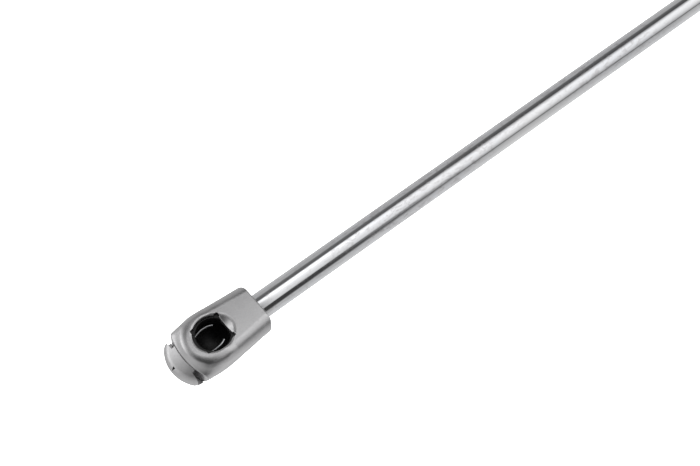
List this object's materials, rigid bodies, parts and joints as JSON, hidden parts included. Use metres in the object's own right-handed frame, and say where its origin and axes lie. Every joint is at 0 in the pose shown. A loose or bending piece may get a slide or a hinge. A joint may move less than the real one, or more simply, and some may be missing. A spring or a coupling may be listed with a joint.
{
  "type": "gas strut stay",
  "caption": "Extending gas strut stay: chromed rod sliding in a black tube, with a cast quick-release ball socket at each end.",
  "frame": {"origin": "ball centre of the tube end socket", "axes": "+X along the strut from the tube end ball centre to the rod end ball centre, +Z out of both socket mouths"},
  "size_m": [0.5288, 0.018, 0.018],
  "materials": {
    "tube_paint": "satin black powder paint",
    "rod_chrome": "ground and hard chromed, thin oil film",
    "cast_zinc": "satin tumbled die-cast zinc",
    "black_plastic": "moulded black acetal",
    "spring_steel": "bright drawn spring wire",
    "seal_rubber": "matt black nitrile rubber",
    "guide_brass": "sintered bronze",
    "plated_steel": "turned and zinc plated",
    "piston_alloy": "turned",
    "white_ptfe": "PTFE guide band"
  },
  "bodies": {
    "cylinder": {"cylinder_tube": "tube_paint", "end_plug": "plated_steel", "end_plug_o_ring": "seal_rubber", "guide_bush": "guide_brass", "rod_seal": "seal_rubber", "seal_washer": "plated_steel", "rod_wiper": "black_plastic", "rebound_bumper": "seal_rubber", "tube_end_housing": "cast_zinc", "tube_end_ball_cup": "black_plastic"},
    "tube_end_release": {"tube_end_release_cap": "cast_zinc", "tube_end_spring_clip": "spring_steel"},
    "piston_band": {"piston_ring": "white_ptfe"},
    "rod": {"piston_rod": "rod_chrome", "piston": "piston_alloy", "stop_washer": "plated_steel", "orifice_disc": "plated_steel", "piston_nut": "plated_steel", "rod_end_housing": "cast_zinc", "rod_end_ball_cup": "black_plastic"},
    "rod_end_release": {"rod_end_release_cap": "cast_zinc", "rod_end_spring_clip": "spring_steel"}
  },
  "joints": [
    {"name": "rod_slide", "type": "slide", "parent": "cylinder", "child": "piston_band", "axis": [1, 0, 0], "range_m": [-0.2, 0]},
    {"name": "rod_spin", "type": "hinge", "parent": "piston_band", "child": "rod", "pos_m": [0.25, 0, 0], "axis": [1, 0, 0], "continuous": true},
    {"name": "tube_end_release_slide", "type": "slide", "parent": "cylinder", "child": "tube_end_release", "axis": [-0.9766, 0, -0.2149], "range_m": [0, 0.0058]},
    {"name": "rod_end_release_slide", "type": "slide", "parent": "rod", "child": "rod_end_release", "axis": [0.9766, 0, -0.2149], "range_m": [0, 0.0058]}
  ]
}
